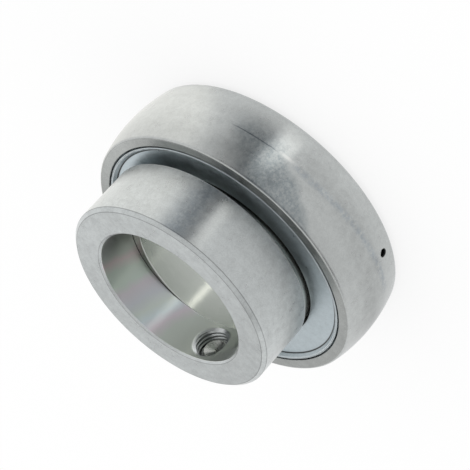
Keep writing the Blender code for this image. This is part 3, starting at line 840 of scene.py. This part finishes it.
def make_collar(look):
    """Collar turned about its own axis, its recess about the stub's, with both holes let in."""
    heights = np.linspace(SCREW_Z - WINDOW_HALF, SCREW_Z + WINDOW_HALF, WINDOW_STEPS + 1)
    outside = flat_line([(COLLAR_RADIUS, z) for z in heights])
    inside = flat_line([(COLLAR_BORE_RADIUS, z) for z in heights[::-1]])
    rear = rounded_line([
        (RECESS_RADIUS, COLLAR_REAR_Z, 0),
        (COLLAR_RADIUS - 0.5 * MM, COLLAR_REAR_Z, 0.15 * MM),
        (COLLAR_RADIUS, COLLAR_REAR_Z + 0.5 * MM, 0.2 * MM),
        (COLLAR_RADIUS, SCREW_Z, 0),
    ], wear_and_shade=2.0)
    rear[5:9, 2] = 2.0  # the flat between the two arcs is tumbled too
    # Painted shade: dark lines along the outer chamfer's two edges and along the face's inner edge.
    front = rounded_line([
        (COLLAR_RADIUS, SCREW_Z, 0),
        (COLLAR_RADIUS, COLLAR_FRONT_Z - 1.0 * MM, 0.18 * MM),
        (COLLAR_RADIUS - 1.05 * MM, COLLAR_FRONT_Z, 0.18 * MM),
        (COLLAR_BORE_RADIUS + 0.6 * MM, COLLAR_FRONT_Z, 0.12 * MM),
        (COLLAR_BORE_RADIUS, COLLAR_FRONT_Z - 0.6 * MM, 0.12 * MM),
        (COLLAR_BORE_RADIUS, SCREW_Z, 0),
    ], shaded_arcs=(0, 1, 2))
    step = rounded_line([
        (COLLAR_BORE_RADIUS, SCREW_Z, 0),
        (COLLAR_BORE_RADIUS, RECESS_FLOOR_Z, 0.1 * MM),
        (RECESS_RADIUS, RECESS_FLOOR_Z, 0),
    ])
    recess = rounded_line([
        (COLLAR_BORE_RADIUS + 1.0 * MM, RECESS_FLOOR_Z, 0),
        (RECESS_RADIUS, RECESS_FLOOR_Z, 0.1 * MM),
        (RECESS_RADIUS, COLLAR_REAR_Z, 0.2 * MM),
        (COLLAR_RADIUS, COLLAR_REAR_Z, 0),
    ])
    own = np.concatenate([rear, outside, front, inside, step])
    start = SCREW_ANGLE - math.pi
    shell = Shell()
    numbers = np.concatenate([
        spun(shell, own, COLLAR_COLUMNS, COLLAR_CENTRE, start),
        spun(shell, recess, COLLAR_COLUMNS, STUB_CENTRE, start),
    ])
    middle = COLLAR_COLUMNS // 2
    reach = WINDOW_STEPS // 2
    outer_low = len(rear)
    inner_high = outer_low + len(outside) + len(front)
    drift_low = outer_low + reach - DRIFT_WINDOW
    keep = np.ones(numbers.shape, bool)
    outer_edge = cut_window(numbers, keep, outer_low, outer_low + WINDOW_STEPS, middle, reach)
    inner_edge = cut_window(numbers, keep, inner_high + WINDOW_STEPS, inner_high, middle, reach)
    drift_edge = cut_window(numbers, keep, drift_low, drift_low + 2 * DRIFT_WINDOW,
                            middle - COLLAR_COLUMNS // 4, DRIFT_WINDOW)
    shell.join(numbers, closed=True, keep=keep)
    outer_rim = screw_hole.rim(shell, outer_edge, COLLAR_RADIUS, THREAD_RIM_RADIUS)
    inner_rim = screw_hole.rim(shell, inner_edge, COLLAR_BORE_RADIUS, THREAD_RIM_RADIUS, flip=True)
    drift_rim = drift_hole.rim(shell, drift_edge, COLLAR_RADIUS, DRIFT_RADIUS + 0.15 * MM)

    turn = screw_hole.round_turn(len(outer_edge))
    sideways = THREAD_RIM_RADIUS * np.cos(turn)
    outer_out = np.sqrt(COLLAR_RADIUS**2 - sideways**2)
    inner_out = np.sqrt(COLLAR_BORE_RADIUS**2 - sideways**2)
    share = np.linspace(0, 1, THREAD_ROWS + 1)[1:-1, None]
    out = outer_out + share * (inner_out - outer_out)
    near_rim = np.minimum(outer_out - out, out - inner_out)
    cone = THREAD_RIM_RADIUS - near_rim / THREAD_LEAD_IN * (THREAD_RIM_RADIUS - THREAD_CREST_RADIUS)
    crest = tooth(out / THREAD_PITCH - turn / math.tau)
    radius = np.maximum(cone, THREAD_ROOT_RADIUS - crest * (THREAD_ROOT_RADIUS - THREAD_CREST_RADIUS))
    # Painted highlight on the lead-in cone and on the crests, painted shade in the roots of the thread,
    # carried in the edge channel.
    thread_sheen_and_shade = np.where(cone >= radius, 1.0, 0.9 * crest - 0.3)
    thread = shell.add(screw_hole.wall(radius, out, turn), thread_sheen_and_shade)
    shell.join(outer_rim, thread, inner_rim)

    floor_out = COLLAR_RADIUS - DRIFT_DEPTH
    pit = np.array([
        (DRIFT_RADIUS + 0.02 * MM, COLLAR_RADIUS - 0.32 * MM),
        (DRIFT_RADIUS, COLLAR_RADIUS - 0.5 * MM),
        (DRIFT_RADIUS, COLLAR_RADIUS - 2.0 * MM),
        (DRIFT_RADIUS, floor_out + 0.85 * MM),
        (DRIFT_RADIUS - 0.05 * MM, floor_out + 0.75 * MM),
        (DRIFT_RADIUS / 2, floor_out + 0.3 * MM),
    ])
    wall = shell.add(drift_hole.wall(pit[:, :1], pit[:, 1:], drift_hole.round_turn(len(drift_edge))))
    shell.join(drift_rim, wall)
    shell.pole(wall[-1], drift_hole.places(floor_out, 0, 0))
    return shell.piece("locking_collar_turned", look)


def film_colour(tree, about):
    """Colour of the thin oil and temper film in the bore: bands along the axis, bent by noise."""
    bend = mottled(tree, 9 * MM, 2 * MM, 0.3 * MM, 4.0)
    turn = about["Degrees"] + bend["Clouds"] * 16.0 + about["Height"] * (0.9 / MM) - 41.0
    bands = add_node(tree, "ValToRGB", {0: turn.between(20.0, 120.0, smooth=False)})
    ramp = bands.color_ramp
    stops = [(0.0, (0.66, 0.69, 0.66)), (0.16, (0.66, 0.68, 0.66)), (0.22, (0.78, 0.67, 0.70)),
             (0.30, (0.63, 0.69, 0.65)), (0.40, (0.64, 0.71, 0.67)), (0.47, (0.71, 0.66, 0.72)),
             (0.58, (0.67, 0.68, 0.74)), (0.66, (0.66, 0.71, 0.69)), (0.72, (0.66, 0.73, 0.78)),
             (0.80, (0.74, 0.67, 0.74)), (0.88, (0.66, 0.70, 0.67)), (1.0, (0.66, 0.69, 0.66))]
    while len(ramp.elements) < len(stops):
        ramp.elements.new(0.5)
    for element, (place, colour) in zip(ramp.elements, stops):
        element.position = place
        element.color = (*colour, 1.0)
    return Field(bands.outputs[0])


COLLAR_ROUGHNESS = 0.31
collar_steel = steel_look(
    "collar_steel_turned", (0.515, 0.54, 0.54), COLLAR_ROUGHNESS, 0.18 * MM, 0.9, 7.0, COLLAR_CENTRE,
    waviness=0.8, speckle=1.5, clouding=2.0)
collar_about = around(collar_steel.node_tree, COLLAR_CENTRE)
bore_share = collar_about["Distance"].between(COLLAR_BORE_RADIUS + 0.11 * MM, COLLAR_BORE_RADIUS + 0.05 * MM)
repaint(collar_steel, bore_share, film_colour(collar_steel.node_tree, collar_about), "MIX")
collar_rough = fed_by(collar_steel, "Roughness")
finish_look(collar_steel, {"Roughness": collar_rough + bore_share * (COLLAR_ROUGHNESS - collar_rough)})
# Painted dark reflection: a streak down the collar's outside.
paint_dark_reflection(collar_steel, (0.58, 0.62, 0.67), COLLAR_CENTRE, Radius=COLLAR_RADIUS, First=-75, Last=-65, Seed=11.0)
front_face = height_share(collar_about["Height"], COLLAR_FRONT_Z - 0.07 * MM, COLLAR_FRONT_Z + 1.0 * MM)
cosine = collar_about["Cosine"]
# Painted shade: the collar's front face darker towards two sides, most on one.
face_side_shade = cosine * cosine * cosine.between(0.3, -0.3, 0.45, 1.0)
repaint(collar_steel, front_face * face_side_shade, (0.80, 0.80, 0.80))
collar = make_collar(collar_steel)
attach(collar, "collar_body")
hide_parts("locking_collar")

# Set screw: hardened steel with a cup point that bites into the shaft and a hexagon socket outside. It is
# backed out of the bore, as the collar is sold, so that the shaft can pass.
SCREW_TIP_OUT = 24.75 * MM
SCREW_LENGTH = 8.0 * MM
SCREW_CREST_RADIUS = 4.4 * MM
SCREW_ROOT_RADIUS = 3.85 * MM
CUP_RADIUS = 3.0 * MM
SOCKET_REACH = 2.9 * MM
SOCKET_DEPTH = 4.0 * MM
SCREW_COLUMNS = 96


def make_screw(look):
    """Set screw as rows of rings along its axis: ring radius is a function of place and angle."""
    turn = math.tau * np.arange(SCREW_COLUMNS) / SCREW_COLUMNS
    body = np.arange(0.75 * MM, 7.55 * MM, 0.1 * MM)[:, None]
    fade = np.clip(np.minimum(body - 0.5 * MM, 7.8 * MM - body) / (0.8 * MM), 0, 1)
    crest = tooth(body / THREAD_PITCH - turn / math.tau)
    thread = SCREW_ROOT_RADIUS + crest * fade * (SCREW_CREST_RADIUS - SCREW_ROOT_RADIUS)
    apothem = SOCKET_REACH * math.cos(math.pi / 6)
    hexagon = apothem / np.cos((turn + math.pi / 6) % (math.pi / 3) - math.pi / 6)
    socket_floor = SCREW_LENGTH - SOCKET_DEPTH

    def rings(pairs):
        """Radii and places along the screw of rings given as pairs (radius or radii, place)."""
        radius = np.stack([np.broadcast_to(r, turn.shape) for r, _ in pairs])
        place = np.stack([np.full(turn.shape, w) for _, w in pairs])
        return radius, place

    tip = rings([
        (0.8 * MM, 0.9 * MM),
        (2.0 * MM, 0.42 * MM),
        (CUP_RADIUS - 0.1 * MM, 0.05 * MM),
        (CUP_RADIUS, 0.0),
        (CUP_RADIUS + 0.2 * MM, 0.0),
        (CUP_RADIUS + 0.28 * MM, 0.04 * MM),
        (SCREW_ROOT_RADIUS - 0.05 * MM, 0.6 * MM),
    ])
    end = rings([
        (SCREW_ROOT_RADIUS, 7.65 * MM),
        (SCREW_ROOT_RADIUS - 0.25 * MM, SCREW_LENGTH - 0.04 * MM),
        (SCREW_ROOT_RADIUS - 0.35 * MM, SCREW_LENGTH),
        (hexagon + 0.25 * MM, SCREW_LENGTH),
        (hexagon + 0.15 * MM, SCREW_LENGTH - 0.02 * MM),
        (hexagon, SCREW_LENGTH - 0.2 * MM),
        (hexagon, SCREW_LENGTH - 0.4 * MM),
        (hexagon, socket_floor + 0.25 * MM),
        (hexagon * 0.98, socket_floor + 0.05 * MM),
        (hexagon * 0.9, socket_floor),
        (1.4 * MM, socket_floor),
    ])
    radius = np.concatenate([tip[0], thread, end[0]])
    place = np.concatenate([tip[1], np.broadcast_to(body, thread.shape), end[1]])
    shell = Shell()
    numbers = shell.add(screw_hole.wall(radius, SCREW_TIP_OUT + place, turn))
    shell.join(numbers)
    shell.pole(numbers[0], screw_hole.places(SCREW_TIP_OUT + 1.1 * MM, 0, 0), flip=True)
    shell.pole(numbers[-1], screw_hole.places(SCREW_TIP_OUT + socket_floor - 0.3 * MM, 0, 0))
    return shell.piece("grub_screw_threaded", look)


screw_steel = steel_look("screw_steel_oiled", (0.55, 0.56, 0.54), 0.28, 0.6 * MM, 0.0, 8.0, waviness=0.3)
grub_screw = make_screw(screw_steel)
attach(grub_screw, "screw_body")
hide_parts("grub_screw")

# Studio: a plain white floor under a white sky, and cards that only the gloss sees, as photographers stand
# them round bright metal: a wide dark one about the camera, small ones close round the bearing, and two
# that show in its bore.
FLOOR_REACH = 6.0
CARD_COLUMNS = 120
FAR = 1500  # in millimetres, as all of the cards' places are
WHITE = (1.0, 1.0, 1.0)
WARM_WHITE = (1.0, 0.985, 0.955)


def seen_directly(tree):
    """1 for rays from the camera, from gloss and through glass, which show the white background."""
    path = fields(add_node(tree, "LightPath"))
    shown = path["Is Camera Ray"].math("MAXIMUM", path["Is Glossy Ray"])
    return shown.math("MAXIMUM", path["Is Transmission Ray"])


def glowing_look(name, under, colour, glow, share_in):
    """Material that shows a plain shader where its share is 0 and glows where it is 1."""
    look = bpy.data.materials.new(name)
    look.use_nodes = True
    tree = look.node_tree
    tree.nodes.clear()
    plain = add_field(tree, *under)
    light = add_field(tree, "Emission", {"Color": colour, "Strength": glow})
    blend = add_field(tree, "MixShader", {0: share_in(tree), 1: plain, 2: light})
    add_node(tree, "OutputMaterial", {"Surface": blend})
    return look


def make_floor():
    """Level square that receives the object's shadow and otherwise shows white."""
    mesh = bpy.data.meshes.new("floor")
    r = FLOOR_REACH
    mesh.from_pydata([(-r, -r, 0), (r, -r, 0), (r, r, 0), (-r, r, 0)], [], [(0, 1, 2, 3)])
    return place_object(mesh, glowing_look("floor_white", ("BsdfDiffuse", {"Color": (0.9, 0.9, 0.9)}),
                                           WHITE, 1.0, lambda tree: seen_directly(tree) * 0.8))


def make_card(name, colour, glow, ends, profile):
    """Card spun part of the way about the axis, that hides what is behind it by its cover, 0 to 1.

    ends pairs azimuths in degrees with cover, and profile holds points (radius and height in
    millimetres, cover, twist). Each row is turned by its twist in degrees, and a grid point's cover is
    the product of the two.
    """
    azimuth = np.linspace(ends[0][0], ends[-1][0], CARD_COLUMNS)
    line = np.asarray(profile, float)
    radius = line[:, :1] * MM
    turn = np.radians(azimuth + line[:, 3:])
    points = np.stack([radius * np.cos(turn), radius * np.sin(turn),
                       np.broadcast_to(line[:, 1:2] * MM, turn.shape)], axis=2)
    share = np.outer(line[:, 2], np.interp(azimuth, *np.transpose(ends)))
    numbers = np.arange(share.size).reshape(share.shape)
    quads = np.stack([numbers[:-1, :-1], numbers[:-1, 1:], numbers[1:, 1:], numbers[1:, :-1]], axis=2)
    mesh = bpy.data.meshes.new(name)
    mesh.from_pydata(points.reshape(-1, 3), [], quads.reshape(-1, 4).tolist())
    mesh.attributes.new("cover", "FLOAT", "POINT").data.foreach_set("value", share.ravel())
    made = place_object(mesh, glowing_look(
        name, ("BsdfTransparent",), colour, glow,
        lambda tree: fields(add_node(tree, "Attribute", attribute_name="cover"))["Fac"]))
    made.visible_camera = False
    made.visible_diffuse = False
    made.visible_shadow = False
    return made


def dome(low, high):
    """Profile of a far card between two elevations in degrees, with soft ends."""
    elevation = np.linspace(low, high, 12)
    turn = np.radians(elevation)
    share = np.interp(elevation, [low, low + 8, high - 8, high], [0, 1, 1, 0])
    return np.column_stack([FAR * np.cos(turn), FAR * np.sin(turn), share, np.zeros(12)])


make_floor()
make_card("dark_card_camera", WHITE, 0.0, [(-192, 0), (-165, 1), (-50, 1), (-14, 0)], dome(8, 46))
make_card("dark_card_low", (0.75, 0.88, 1.0), 0.05,
              [(-69, 0), (-66, 0.66), (-56, 0.66), (-48, 0.33), (-39, 0.1), (-30, 0)],
              [(45, 0.4, 0, -6), (49, 0.4, 0.6, -6), (60, 0.8, 0.75, -4), (70, 4, 1, -1), (76, 11, 1, 0),
               (77, 13.5, 1, 0), (78, 16, 0.85, -6), (78, 19, 0.8, -12), (78, 46, 0.75, -12),
               (78, 60, 0, -12)])
make_card("light_card_strip", WARM_WHITE, 2.2, [(-80, 0), (-77, 1), (-71, 1), (-69, 0)],
              [(48, 0.4, 0, -6), (52, 0.4, 1, -6), (58, 0.7, 0.75, -4), (64, 1.2, 0.3, -3),
               (72, 6, 0.7, -1), (76, 11, 1, 0), (77, 13.5, 1, 0), (78, 16, 0.1, -6)])
make_card("light_card_side", WARM_WHITE, 1.3, [(-45, 0), (-30, 1), (100, 1), (130, 0)],
              [(40, 0.4, 0, 0), (44, 0.4, 1, 0), (70, 4, 1, 0), (76, 12, 1, 0), (78, 26, 1, 0),
               (78, 32, 0, 0)])
make_card("light_card_high_side", WHITE, 1.4, [(30, 0), (42, 1), (56, 1), (66, 0)],
              [(78, 44, 0, 0), (78, 52, 1, 0), (78, 62, 1, 0), (78, 72, 0, 0)])
make_card("light_card_far_side", WHITE, 1.08, [(-215, 0), (-190, 0.8), (-92, 0.8), (-84, 0)],
              [(78, 2, 0, 0), (78, 8, 1, 0), (78, 30, 1, 0), (78, 36, 0, 0)])
make_card("grey_card_low", WHITE, 0.40, [(-215, 0), (-190, 0.6), (-92, 0.6), (-84, 0)],
              [(48, 0.4, 0, 0), (52, 0.4, 1, 0), (70, 0.6, 1, 0), (78, 1, 0, 0)])
make_card("light_card_bore", (1.0, 0.97, 0.89), 3.6, [(-76, 0), (-75, 1), (-65, 1), (-61, 0)],
              [(22.2, 0.4, 1, 0), (22.2, 6, 1, 0), (22.2, 10, 0, 0)])
make_card("light_card_under_bore", WHITE, 2.2, [(60, 0), (75, 1), (125, 1), (140, 0)],
              [(9, 0.4, 0, 0), (12, 0.4, 1, 0), (21.8, 0.4, 1, 0)])

world = bpy.data.worlds.new("white_sky")
bpy.context.scene.world = world
world.use_nodes = True
strength = seen_directly(world.node_tree).between(0.0, 1.0, 1.1, 1.0, smooth=False)
feed(world.node_tree.nodes["Background"], {"Color": WHITE, "Strength": strength})

# Camera: where the photograph was taken from, 28 degrees above the collar's face and turned about its own
# line of sight, so that the bearing's axis points down to the left.
CAMERA_PLACE = (0.00110, -0.67996, 0.37726)
CAMERA_RIGHT = (-0.74340, -0.31373, -0.59071)
CAMERA_OVER = (0.66885, -0.34870, -0.65654)
camera_data = bpy.data.cameras.new("camera")
camera_data.lens = 220.4
camera_data.sensor_width = 36.0
camera_data.clip_start = 0.01
camera_data.clip_end = 50.0
camera = bpy.data.objects.new("camera", camera_data)
bpy.context.collection.objects.link(camera)
pose = np.eye(4)
pose[:3] = np.transpose([CAMERA_RIGHT, CAMERA_OVER, np.cross(CAMERA_RIGHT, CAMERA_OVER), CAMERA_PLACE])
camera.matrix_world = Matrix(pose.tolist())
bpy.context.scene.camera = camera
bpy.context.scene.view_settings.view_transform = "Standard"
